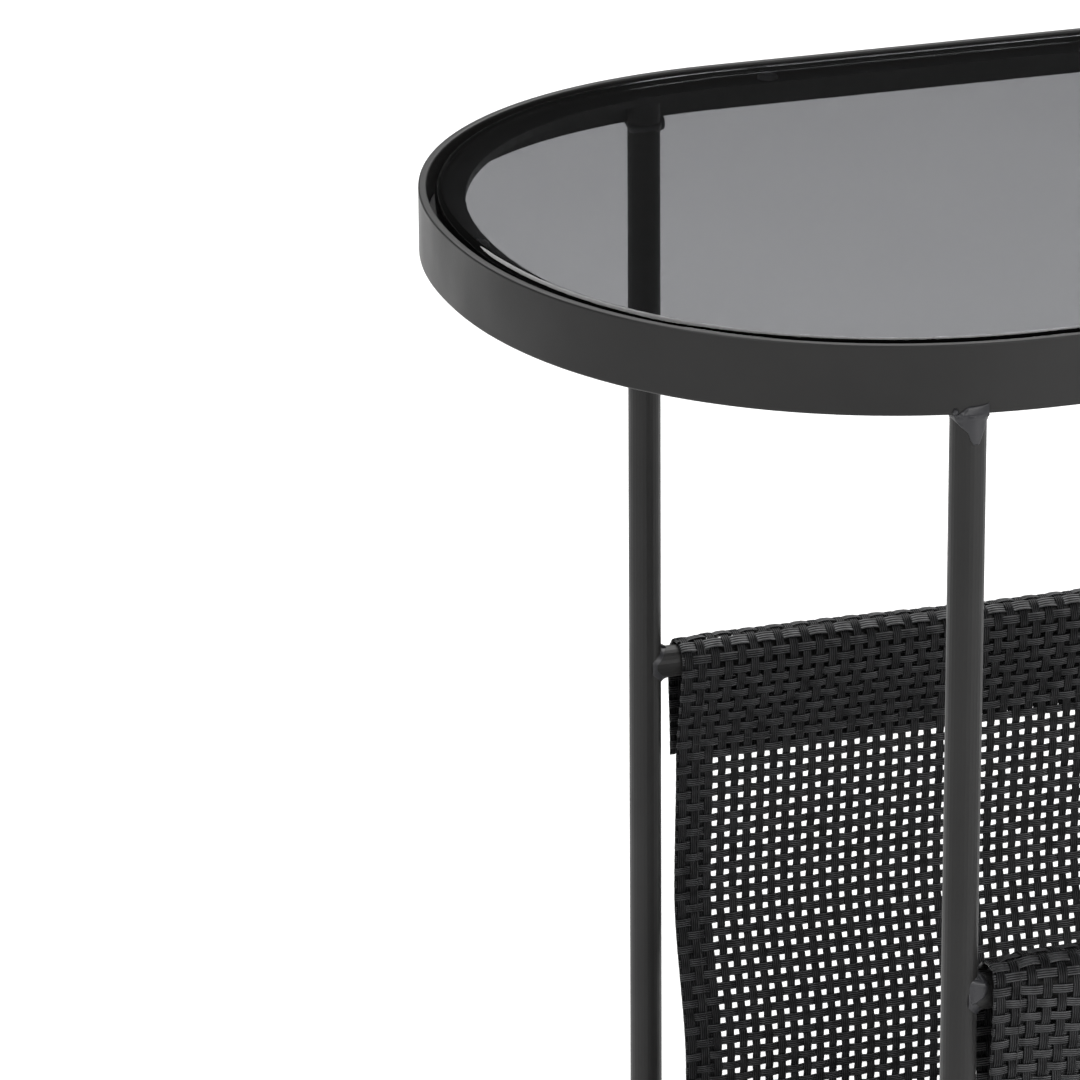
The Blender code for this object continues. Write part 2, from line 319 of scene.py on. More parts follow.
def ribbon_material(name, color, roughness, specular):
    """A flat coated ribbon of four yarns side by side: ridges, painted shade in the grooves, painted
    highlights on the crests, and uneven tone.
    """
    made, tree, shader = new_material(name, color, roughness, Specular_IOR_Level=specular)
    coordinates = tree.nodes.new("ShaderNodeTexCoord")
    split = tree.nodes.new("ShaderNodeSeparateXYZ")
    tree.links.new(coordinates.outputs["UV"], split.inputs["Vector"])
    turns = add_node(tree, "ShaderNodeMath", operation="MULTIPLY")
    turns.inputs[1].default_value = YARNS * math.pi
    wave = add_node(tree, "ShaderNodeMath", operation="SINE")
    ridge = add_node(tree, "ShaderNodeMath", operation="ABSOLUTE")
    tree.links.new(split.outputs["Y"], turns.inputs[0])
    tree.links.new(turns.outputs[0], wave.inputs[0])
    tree.links.new(wave.outputs[0], ridge.inputs[0])
    drift = add_node(tree, "ShaderNodeTexNoise", Scale=240.0, Detail=4.0)
    tree.links.new(coordinates.outputs["Object"], drift.inputs["Vector"])
    ridge_light_and_tone = add_node(tree, "ShaderNodeMath", operation="MULTIPLY")
    tree.links.new(ridge.outputs[0], ridge_light_and_tone.inputs[0])
    tree.links.new(drift.outputs["Fac"], ridge_light_and_tone.inputs[1])
    # Painted shade and highlight: the base colour drops to 0.35 of the ribbon's colour in the grooves
    # between yarns and rises to 2.2 times on the crests; the noise adds uneven tone.
    ramp = tree.nodes.new("ShaderNodeValToRGB")
    ramp.color_ramp.elements[0].position = 0.12
    ramp.color_ramp.elements[1].position = 0.62
    ramp.color_ramp.elements[0].color = (*(channel * 0.35 for channel in color), 1.0)
    ramp.color_ramp.elements[1].color = (*(channel * 2.2 for channel in color), 1.0)
    tree.links.new(ridge_light_and_tone.outputs[0], ramp.inputs["Fac"])
    tree.links.new(ramp.outputs["Color"], shader.inputs["Base Color"])
    gloss = add_node(tree, "ShaderNodeMapRange", To_Min=0.1 * specular, To_Max=1.7 * specular)
    gloss.inputs["From Max"].default_value = 0.55
    tree.links.new(ridge_light_and_tone.outputs[0], gloss.inputs["Value"])
    tree.links.new(gloss.outputs["Result"], shader.inputs["Specular IOR Level"])
    add_bump(tree, shader, ridge.outputs[0], 1.0, 0.25 * MM)
    return made


def plain_detail(name, color, roughness, scale, depth, **sockets):
    """A moulded or spun surface with fine noise in its colour and bump."""
    made, tree, shader = new_material(name, color, roughness, **sockets)
    place = tree.nodes.new("ShaderNodeTexCoord").outputs["Object"]
    noise = vary_color(tree, shader, place, scale, color, tuple(channel * 1.25 for channel in color))
    add_bump(tree, shader, noise.outputs["Fac"], 0.5, depth)
    return made


# Mesh helpers ---------------------------------------------------------------------------------

def power(value, exponent):
    """A signed power, which keeps the sign of the value."""
    return math.copysign(abs(value) ** exponent, value)


def outline_point(angle, inset):
    """A point of the right-hand end of the outline, and the outward normal there."""
    c, s = math.cos(angle), math.sin(angle)
    normal = Vector((power(c, 2 - 2 / END_POWER) / END_REACH, power(s, 2 - 2 / END_POWER) / HALF_DEPTH, 0))
    normal.normalize()
    point = Vector((END_REACH * power(c, 2 / END_POWER), HALF_DEPTH * power(s, 2 / END_POWER), 0))
    return point - normal * inset + Vector((STRAIGHT_HALF, 0, 0)), normal


def outline(inset, steps=FINE_END_STEPS):
    """The whole outline moved inwards by inset, counter-clockwise."""
    right = [outline_point(-math.pi / 2 + math.pi * i / steps, inset)[0] for i in range(steps + 1)]
    return right + [Vector((-point.x, -point.y, 0)) for point in right]


def finish_mesh(name, bm, materials, body, smooth_angle=40):
    """A bmesh as a smooth-shaded piece that rides on a body."""
    bmesh.ops.recalc_face_normals(bm, faces=bm.faces[:])
    mesh = bpy.data.meshes.new(name)
    bm.to_mesh(mesh)
    bm.free()
    return finish_piece(name, mesh, materials, body, smooth_angle)


def finish_piece(name, mesh, materials, body, smooth_angle=40):
    """A mesh as a smooth-shaded piece that rides on a body."""
    mesh.shade_smooth()
    mesh.set_sharp_from_angle(angle=math.radians(smooth_angle))
    for made in materials:
        mesh.materials.append(made)
    piece = bpy.data.objects.new(name, mesh)
    bpy.context.scene.collection.objects.link(piece)
    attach(piece, body)
    return piece


def bridge(bm, first, second):
    """Quads between two closed rings of vertices."""
    count = len(first)
    for i in range(count):
        j = (i + 1) % count
        bm.faces.new((first[i], first[j], second[j], second[i]))


def close_tube(bm, grid, core):
    """Quads over a tube's rings, and back through the two rings of its core."""
    rings = [*grid, core[1], core[0], grid[0]]
    for first, second in zip(rings, rings[1:]):
        bridge(bm, first, second)


def rings_from_section(section):
    """A bmesh with one outline ring for each (inset, z) point of a section."""
    bm = bmesh.new()
    rings = [[bm.verts.new((p.x, p.y, z)) for p in outline(inset)] for inset, z in section]
    return bm, rings


def rounded_corner(centre_inset, centre_z, radius, start, steps):
    """(inset, z) points of a quarter round from the start angle, clockwise seen in section."""
    angles = [start - math.pi / 2 * i / steps for i in range(steps + 1)]
    return [(centre_inset - radius * math.cos(a), centre_z + radius * math.sin(a)) for a in angles]


def lead_in(point, angle, side=1):
    """A point just before, or after, a rounded corner on the flat that runs into it."""
    inset, z = point
    return inset + side * SUPPORT * math.sin(angle), z + side * SUPPORT * math.cos(angle)


# Frame ----------------------------------------------------------------------------------------

def build_band(coat):
    """The rim's flat bar with its rolled arrises."""
    r, low, high = BAND_ARRIS, BAND_LOW.z, HEIGHT
    near, far = r, BAND_THICKNESS - r
    section = []
    for inset, z, start in ((near, high - r, math.pi / 2), (near, low + r, 0.0),
                            (far, low + r, -math.pi / 2), (far, high - r, math.pi)):
        corner = rounded_corner(inset, z, r, start, 4)
        section += [lead_in(corner[0], start), *corner, lead_in(corner[-1], start - math.pi / 2, -1)]
    bm, rings = rings_from_section(section)
    for i, ring in enumerate(rings):
        bridge(bm, ring, rings[(i + 1) % len(rings)])
    band = finish_mesh("rim_band_fine", bm, [coat], "frame", 60)
    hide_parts("rim_band")


def build_glass(glass):
    """The pane, with its edges ground round and polished."""
    low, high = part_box("glass_top")
    r = GLASS_EDGE_RADIUS
    inset = GLASS_INSET + r
    section = [(inset + SUPPORT, high.z)] + rounded_corner(inset, high.z - r, r, math.pi / 2, 12)
    section += rounded_corner(inset, low.z + r, r, 0.0, 12) + [(inset + SUPPORT, low.z)]
    bm, rings = rings_from_section(section)
    for upper, lower in zip(rings, rings[1:]):
        bridge(bm, upper, lower)
    bm.faces.new(rings[0])
    bm.faces.new(rings[-1])
    pane = finish_mesh("glass_pane", bm, [glass], "glass", 25)
    for polygon in pane.data.polygons:
        if abs(polygon.normal.z) > 0.9999:
            polygon.use_smooth = False
    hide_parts("glass_top")


def dress_cad_nodes(looks):
    """Give the CAD nodes that stay shown their detailed materials and smooth shading."""
    for name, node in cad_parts.items():
        for prefix, made in looks.items():
            if name.startswith(prefix):
                node.data.materials.clear()
                node.data.materials.append(made)
                node.data.shade_smooth()
                node.data.set_sharp_from_angle(angle=math.radians(35))


def leg_frame(x_sign, y_sign):
    """The band's outer face above a leg: a point at its lower edge, the way along it and out."""
    angle = math.pi / 2
    for _ in range(SEARCH_TRIES):
        point, _ = outline_point(angle, 0)
        angle -= (LEG_X - point.x + (LEG_Y - point.y) * SEARCH_SLANT) / END_REACH * SEARCH_STEP
    point, normal = outline_point(angle, 0)
    foot = Vector((x_sign * point.x, y_sign * point.y, BAND_LOW.z))
    outward = Vector((x_sign * normal.x, y_sign * normal.y, 0))
    inward = Vector((-x_sign * normal.y, y_sign * normal.x, 0))
    return foot, inward, outward


def build_head_weld(coat, end, side):
    """The weld where a leg meets the rim: a thin collar, and a shield lapped over the rim."""
    x_sign, y_sign = SIDES[side], ENDS[end]
    foot, inward, outward = leg_frame(x_sign, y_sign)
    axis = Vector((x_sign * LEG_X, y_sign * LEG_Y, BAND_LOW.z))
    face = (foot - axis).dot(outward)
    bm = bmesh.new()
    add_collar(bm, axis, inward, outward, x_sign + 2 * y_sign)
    add_shield(bm, axis, face, inward, outward)
    knob = axis + inward * KNOB_ALONG + outward * (face + KNOB_PROUD)
    add_lump(bm, knob + Vector((0, 0, KNOB_RISE)), (inward, outward), KNOB_SIZES)
    drip = axis + inward * LEG_RADIUS * 1.05 - outward * LEG_RADIUS * 0.1
    add_lump(bm, drip - Vector((0, 0, DRIP_DROP)), (inward, outward), DRIP_SIZES[end])
    finish_mesh(f"head_weld_{end}_{side}", bm, [coat], "frame", 70)


def add_collar(bm, axis, inward, outward, seed):
    """A thin uneven collar round the leg just under the rim."""
    around, rows = 48, 8
    grid = []
    for row in range(rows + 1):
        t = row / rows
        ring = []
        for k in range(around):
            a = 2 * math.pi * k / around
            wobble = 1 + 0.2 * math.sin(3 * a + seed) + 0.12 * math.sin(7 * a + 2 * seed)
            swell = COLLAR_THICKNESS * wobble * math.sin(math.pi * (0.08 + 0.8 * t)) ** 0.8
            place = axis + (outward * math.cos(a) + inward * math.sin(a)) * (LEG_RADIUS - BITE + swell)
            ring.append(bm.verts.new(place - Vector((0, 0, COLLAR_LENGTH * wobble * (1 - t)))))
        grid.append(ring)
    core = [[bm.verts.new(Vector((*(axis + (v.co - axis) * 0.8).xy, v.co.z))) for v in ring]
            for ring in (grid[0], grid[-1])]
    close_tube(bm, grid, core)


def add_shield(bm, axis, face, inward, outward):
    """The part of a head weld that runs down the leg's outer side and up over the rim's face."""
    columns, rows = 44, 26
    angles, drops, heights = zip(*SHIELD_OUTLINE)
    front, back = [], []
    for row in range(rows + 1):
        front_row, back_row = [], []
        for column in range(columns + 1):
            angle = angles[0] + (angles[-1] - angles[0]) * column / columns
            drop = np.interp(angle, angles, drops) * MM
            height = np.interp(angle, angles, heights) * MM
            z = -drop + (drop + height) * row / rows
            place, behind = shield_point(angle, z, drop, height, face, inward, outward)
            front_row.append(bm.verts.new(axis + place))
            back_row.append(bm.verts.new(axis + behind))
        front.append(front_row)
        back.append(back_row)
    close_sheet(bm, front, back)


def shield_point(angle, z, drop, height, face, inward, outward):
    """A point on a shield and the one behind it, from the leg's axis at the rim's lower edge."""
    turn = math.radians(angle)
    full = ease((angle - GROOVE_ANGLES[0]) / (GROOVE_ANGLES[1] - GROOVE_ANGLES[0]))
    from_end = z + drop
    ridge = RIDGE_HEIGHT * math.exp(-((from_end - RIDGE_PLACE) / RIDGE_WIDTH) ** 2)
    body = SHIELD_THICKNESS * (1 - math.exp(-from_end / SHIELD_ROUNDING))
    thickness = ridge * (1 - full) + body * full
    radial = outward * math.cos(turn) + inward * math.sin(turn)
    on_leg = radial * (LEG_RADIUS + SKIN + thickness)
    slope = max(0.0, 1 - max(z, 0.0) / max(height, 0.1 * MM)) ** 0.8
    thinned = 1 - 0.5 * max(0.0, math.sin(turn)) ** 2
    swell = SHIELD_SWELL[0] + SHIELD_SWELL[1] * full * slope * thinned
    sideways = inward * LEG_RADIUS * math.sin(turn)
    on_rim = outward * (face + swell) + sideways
    in_leg = radial * (LEG_RADIUS - SHIELD_BACK)
    in_rim = outward * (face - SHIELD_BACK) + sideways
    blend = ease((z + SHIELD_TURN) / SHIELD_TURN)
    up = Vector((0, 0, z))
    return on_leg * (1 - blend) + on_rim * blend + up, in_leg * (1 - blend) + in_rim * blend + up


def close_sheet(bm, front, back):
    """Faces over two grids of vertices and round their common edge."""
    rows, columns = len(front) - 1, len(front[0]) - 1
    for grid in (front, back):
        for row in range(rows):
            for column in range(columns):
                bm.faces.new((grid[row][column], grid[row][column + 1],
                              grid[row + 1][column + 1], grid[row + 1][column]))
    for row in (0, rows):
        for column in range(columns):
            bm.faces.new((front[row][column], front[row][column + 1],
                          back[row][column + 1], back[row][column]))
    for column in (0, columns):
        for row in range(rows):
            bm.faces.new((front[row][column], front[row + 1][column],
                          back[row + 1][column], back[row][column]))


def add_lump(bm, centre, directions, sizes):
    """A small irregular drop of weld metal."""
    made = bmesh.ops.create_icosphere(bm, subdivisions=3, radius=1.0)
    for vertex in made["verts"]:
        x, y, z = vertex.co
        wobble = 1 + 0.08 * math.sin(4 * x + 3 * z) + 0.06 * math.sin(5 * y - 4 * z)
        offset = directions[0] * x * sizes[0] + directions[1] * y * sizes[1]
        vertex.co = centre + (offset + Vector((0, 0, z * sizes[2]))) * wobble


def build_rod_weld(coat, end, side):
    """The weld at the end of a rod: a fillet that sags against the leg, and a cap on the outer side."""
    x_sign, y_sign = SIDES[side], ENDS[end]
    bm = bmesh.new()
    around, rows = 32, 8
    grid = []
    for row in range(rows + 1):
        t = row / rows
        ring = []
        for k in range(around):
            a = 2 * math.pi * k / around
            sag = max(0.0, -math.sin(a)) ** 2
            wobble = 1 + 0.12 * math.sin(3 * a + 2 * x_sign + y_sign) + 0.07 * math.sin(8 * a)
            height = (FILLET_HEIGHT[0] + FILLET_HEIGHT[1] * sag) * wobble * (1 - t) ** 2
            radius = ROD_RADIUS + (FILLET_LEAST + height) * MM
            y, z = radius * math.cos(a), radius * math.sin(a)
            on_leg = math.sqrt((LEG_RADIUS + SKIN) ** 2 - min(abs(y), LEG_RADIUS * 0.99) ** 2)
            reach = on_leg + (FILLET_REACH[0] + FILLET_REACH[1] * sag) * MM * t * wobble
            ring.append(bm.verts.new((x_sign * (LEG_X - reach), y_sign * LEG_Y + y, ROD_Z + z)))
        grid.append(ring)
    core = []
    for ring in (grid[0], grid[-1]):
        core.append([bm.verts.new((v.co.x, y_sign * LEG_Y + (v.co.y - y_sign * LEG_Y) * 0.7,
                                   ROD_Z + (v.co.z - ROD_Z) * 0.7)) for v in ring])
    close_tube(bm, grid, core)
    add_cap(bm, x_sign, y_sign)
    finish_mesh(f"rod_weld_{end}_{side}", bm, [coat], "frame", 70)


def add_cap(bm, x_sign, y_sign):
    """A flat teardrop of weld metal in the hollow between a leg and its rod."""
    around, rings = 40, 9
    corners = np.array(CAP_OUTLINE + CAP_OUTLINE[:1])
    edges = np.linalg.norm(np.diff(corners, axis=0), axis=1)
    stations = np.concatenate([[0.0], np.cumsum(edges)])
    front, back = [], []
    for ring in range(1, rings + 1):
        r = (ring / rings) ** 0.7
        front_ring, back_ring = [], []
        for k in range(around):
            s = stations[-1] * k / around
            along = CAP_CENTRE[0] + r * np.interp(s, stations, corners[:, 0])
            rise = CAP_CENTRE[1] + r * np.interp(s, stations, corners[:, 1])
            on_leg = math.sqrt(max(0.0, (LEG_RADIUS / MM) ** 2 - along ** 2))
            on_rod = math.sqrt(max(0.0, (ROD_RADIUS / MM) ** 2 - rise ** 2))
            base = max(on_leg, on_rod)
            proud = ROD_RADIUS / MM + CAP_RISE - CAP_TILT * rise - base
            out = base + 0.03 + proud * (1 - r ** 6)
            for ring_points, reach in ((front_ring, out), (back_ring, base - 1.0)):
                ring_points.append(bm.verts.new((x_sign * (LEG_X - along * MM),
                                                 y_sign * (LEG_Y + reach * MM), ROD_Z + rise * MM)))
        front.append(front_ring)
        back.append(back_ring)
    for grid in (front, back):
        bm.faces.new(grid[0])
        for first, second in zip(grid, grid[1:]):
            bridge(bm, first, second)
    bridge(bm, front[-1], back[-1])


# Sling ----------------------------------------------------------------------------------------

def ease(value):
    """Rise from 0 to 1 with level ends."""
    value = min(max(value, 0.0), 1.0)
    return value * value * (3 - 2 * value)


def eased(values):
    """The same rise for a whole array."""
    values = np.clip(values, 0.0, 1.0)
    return values * values * (3 - 2 * values)


def wall_y(depth, end):
    """How far from the centre plane the sling's wall hangs, depth below the rods."""
    top, seam, flap_depth = LEG_Y - end["loop"], end["seam"], end["flap_depth"]
    return (top + (seam - top) * ease(depth / flap_depth)
            + (HANG_Y - seam) * ease((depth - flap_depth) / (HANG_DEPTH - flap_depth))
            - TUCK_SHIFT * ease((depth - HANG_DEPTH) / (TUCK_DEPTH - HANG_DEPTH)))


def flap_y(depth, end):
    """Where the flap outside the rod hangs, depth below it."""
    top = LEG_Y + end["loop"]
    return top + (end["flap"] - top) * ease(depth / end["flap_depth"])


def half_section(end):
    """(y, z, half width) points of one half, from the lowest point to the hem's fold."""
    points = []
    wall_width, crown_width, flap_widths = end["wall_width"], end["crown_width"], end["flap_widths"]
    for i in range(BOTTOM_STEPS + 1):
        angle = math.pi / 2 * i / BOTTOM_STEPS
        y = wall_y(TURN_DEPTH, end) * power(math.sin(angle), 2 / BOTTOM_POWER)
        z = -TURN_DEPTH - (SLING_DEPTH - TURN_DEPTH) * power(math.cos(angle), 2 / BOTTOM_POWER)
        points.append((y, z, MIDDLE_WIDTH + (wall_width - MIDDLE_WIDTH) * i / BOTTOM_STEPS))
    for i in range(1, WALL_STEPS):
        depth = TURN_DEPTH * (1 - i / WALL_STEPS)
        narrowing = 0.5 * (crown_width - wall_width) * ease(1 - depth / WALL_EDGE_DEPTH)
        points.append((wall_y(depth, end), -depth, wall_width + narrowing))
    start_width = 0.5 * (wall_width + crown_width)
    for i in range(LOOP_STEPS + 1):
        angle = math.pi * (1 - i / LOOP_STEPS)
        near = start_width if 2 * i < LOOP_STEPS else flap_widths[0]
        width = crown_width + (near - crown_width) * abs(2 * i / LOOP_STEPS - 1)
        points.append((LEG_Y + end["loop"] * math.cos(angle), end["loop"] * math.sin(angle), width))
    for i in range(1, FLAP_STEPS + 1):
        depth = end["flap_depth"] * i / FLAP_STEPS
        width = flap_widths[0] + (flap_widths[1] - flap_widths[0]) * i / FLAP_STEPS
        points.append((flap_y(depth, end), -depth, width))
    return points


def hem_tail(end):
    """(y, z, half width) points of the end hem: a tight fold, and the turned-in layer."""
    tail = []
    width = end["flap_widths"][1]
    for i in range(1, FOLD_STEPS + 1):
        angle = math.pi * i / FOLD_STEPS
        y = end["flap"] - FOLD_RADIUS * (1 - math.cos(angle))
        tail.append((y, -end["flap_depth"] - FOLD_RADIUS * math.sin(angle), width))
    length = (END_HEM_ROWS + TAIL_SPARE_ROWS) * ROW_PITCH
    for i in range(1, TAIL_STEPS + 1):
        depth = end["flap_depth"] - length * i / TAIL_STEPS
        tail.append((flap_y(depth, end) - LAYER, -depth, width))
    return tail


class Section:
    """The sling's section as a curve by arc length, with tangents and normals."""

    def __init__(self):
        halves = {name: half_section(end) + hem_tail(end) for name, end in SLING_ENDS.items()}
        tail = len(hem_tail(SLING_ENDS["rear"]))
        front = [(-y, z, w) for y, z, w in reversed(halves["front"][1:])]
        data = np.array(front + halves["rear"])
        self.points = data[:, :2] + np.array([0.0, ROD_Z])
        self.widths = data[:, 2]
        steps = np.linalg.norm(np.diff(self.points, axis=0), axis=1)
        self.along = np.concatenate([[0.0], np.cumsum(steps)])
        self.length = self.along[-1]
        tangent = np.gradient(self.points, self.along, axis=0)
        self.tangents = tangent / np.linalg.norm(tangent, axis=1)[:, None]
        self.first, self.last = float(self.along[tail]), float(self.along[-1 - tail])
        runs = [end["flap_depth"] + math.pi / 2 * end["loop"] for end in SLING_ENDS.values()]
        self.crowns = [self.first + runs[0], self.last - runs[1]]

    def at(self, s):
        """Points, tangents, normals to the outer side, and half widths at arc lengths s."""
        s = np.asarray(s, float)
        point = np.stack([np.interp(s, self.along, self.points[:, i]) for i in range(2)], -1)
        tangent = np.stack([np.interp(s, self.along, self.tangents[:, i]) for i in range(2)], -1)
        tangent /= np.linalg.norm(tangent, axis=-1, keepdims=True)
        normal = np.stack([tangent[..., 1], -tangent[..., 0]], -1)
        return point, tangent, normal, np.interp(s, self.along, self.widths)

    def lift(self, across, s):
        """How far the flaps are lifted: up at their corners, and down where they sag."""
        at_corner = eased((np.abs(across) - HALF_WIDTH + CORNER_REACH) / CORNER_REACH)
        total = 0.0
        for end, beyond_crown in zip(SLING_ENDS.values(), (self.crowns[0] - s, s - self.crowns[1])):
            on_flap = np.clip(beyond_crown / CROWN_RUN, 0.0, 1.0)
            total = total + on_flap * (end["corner_lift"] * at_corner - end["sag"])
        return total

    def rise(self, across, s):
        """How far the loops stand further off the rods than the section says, or less far."""
        to_edge = HALF_WIDTH - np.abs(across)
        total = np.zeros(np.broadcast(across, s).shape)
        for crown, end in zip(self.crowns, SLING_ENDS.values()):
            slack, run, fall = end["slack"]
            on_loop = eased((BULGE_END - np.abs(s - crown)) / BULGE_FADE)
            gain = slack * eased(to_edge / run)
            loss = fall * eased((to_edge - SLACK_FADE[0]) / (SLACK_FADE[1] - SLACK_FADE[0]))
            total += (EDGE_RISE + gain - loss) * on_loop
        return total


def side_fold(across, width):
    """Fold the cloth's side hem: x, offset, and the layer's own x and offset directions."""
    beyond = np.abs(across) - width
    sign = np.sign(across)
    turn = np.clip(beyond / FOLD_RADIUS, 0.0, math.pi)
    x = np.minimum(np.abs(across), width) + FOLD_RADIUS * np.sin(turn)
    x = x - np.maximum(beyond - math.pi * FOLD_RADIUS, 0.0)
    offset = FOLD_RADIUS * (1 - np.cos(turn))
    return sign * x, offset, -sign * np.sin(turn), np.cos(turn)


def cloth_point(section, across, s, lift):
    """World points of the cloth at (across, s), lifted off its own middle surface."""
    point, _, normal, width = section.at(s)
    stretched = across * width / HALF_WIDTH
    x, offset, lean_x, lean_n = side_fold(stretched, width)
    yz = point + normal * (offset + lift * lean_n - section.rise(x, s))[..., None]
    return np.stack([x + lift * lean_x, yz[..., 0], yz[..., 1] + section.lift(x, s)], -1)


def crimp(position, spacing, phase, half_width, number):
    """A ribbon's rise and fall: level over each crossing, sloping between them."""
    t = position / spacing - phase
    nearest = np.round(t)
    level = LEVEL_PART * half_width / spacing
    slope = np.clip((np.abs(t - nearest) - level) / (0.5 - level), 0.0, 1.0)
    sign = np.where((nearest + number) % 2 == 0, 1.0, -1.0)
    return CRIMP * sign * (1 - slope)


class RibbonMesh:
    """Collects ribbons as closed tubes of eight sides, with UVs along and across them."""

    def __init__(self):
        self.points, self.quads, self.caps, self.uvs, self.kinds, self.cap_kinds = [], [], [], [], [], []
        self.count = 0

    def add(self, centre, sideways, upwards, along, half_width, kind):
        """One ribbon through centre points, with unit vectors across it and off its face."""
        rings = len(centre)
        sides = len(RIBBON_SECTION)
        block = np.empty((rings, sides, 3))
        uv = np.empty((rings, sides, 2))
        for k, (across, lift, v) in enumerate(RIBBON_SECTION):
            block[:, k] = centre + sideways * across * half_width + upwards * lift * RIBBON_HALF_THICKNESS
            uv[:, k, 0] = along / ROW_PITCH
            uv[:, k, 1] = v
        ring = np.arange(rings - 1)[:, None] * sides + self.count
        k = np.arange(sides)[None, :]
        following = (k + 1) % sides
        quads = np.stack([ring + k, ring + following, ring + sides + following, ring + sides + k], -1)
        self.quads.append(quads.reshape(-1, 4))
        self.caps.append(np.arange(sides)[::-1] + self.count)
        self.caps.append(np.arange(sides) + self.count + (rings - 1) * sides)
        self.kinds.append(np.full(len(quads.reshape(-1, 4)), kind))
        self.cap_kinds += [kind, kind]
        self.points.append(block.reshape(-1, 3))
        self.uvs.append(uv.reshape(-1, 2))
        self.count += rings * sides

    def mesh(self, name):
        """The collected ribbons as one Blender mesh."""
        points = np.concatenate(self.points)
        uvs = np.concatenate(self.uvs)
        faces = np.concatenate(self.quads).tolist() + [cap.tolist() for cap in self.caps]
        mesh = bpy.data.meshes.new(name)
        mesh.from_pydata(points.tolist(), [], faces)
        layer = mesh.uv_layers.new(name="ribbon")
        corners = np.empty(len(mesh.loops), np.int32)
        mesh.loops.foreach_get("vertex_index", corners)
        layer.data.foreach_set("uv", uvs[corners].ravel())
        kinds = np.concatenate(self.kinds).tolist() + self.cap_kinds
        mesh.polygons.foreach_set("material_index", np.array(kinds, np.int32))
        mesh.update()
        bm = bmesh.new()
        bm.from_mesh(mesh)
        bmesh.ops.recalc_face_normals(bm, faces=bm.faces[:])
        bm.to_mesh(mesh)
        bm.free()
        return mesh


def unit(vectors):
    """Vectors scaled to unit length."""
    return vectors / np.linalg.norm(vectors, axis=-1, keepdims=True)


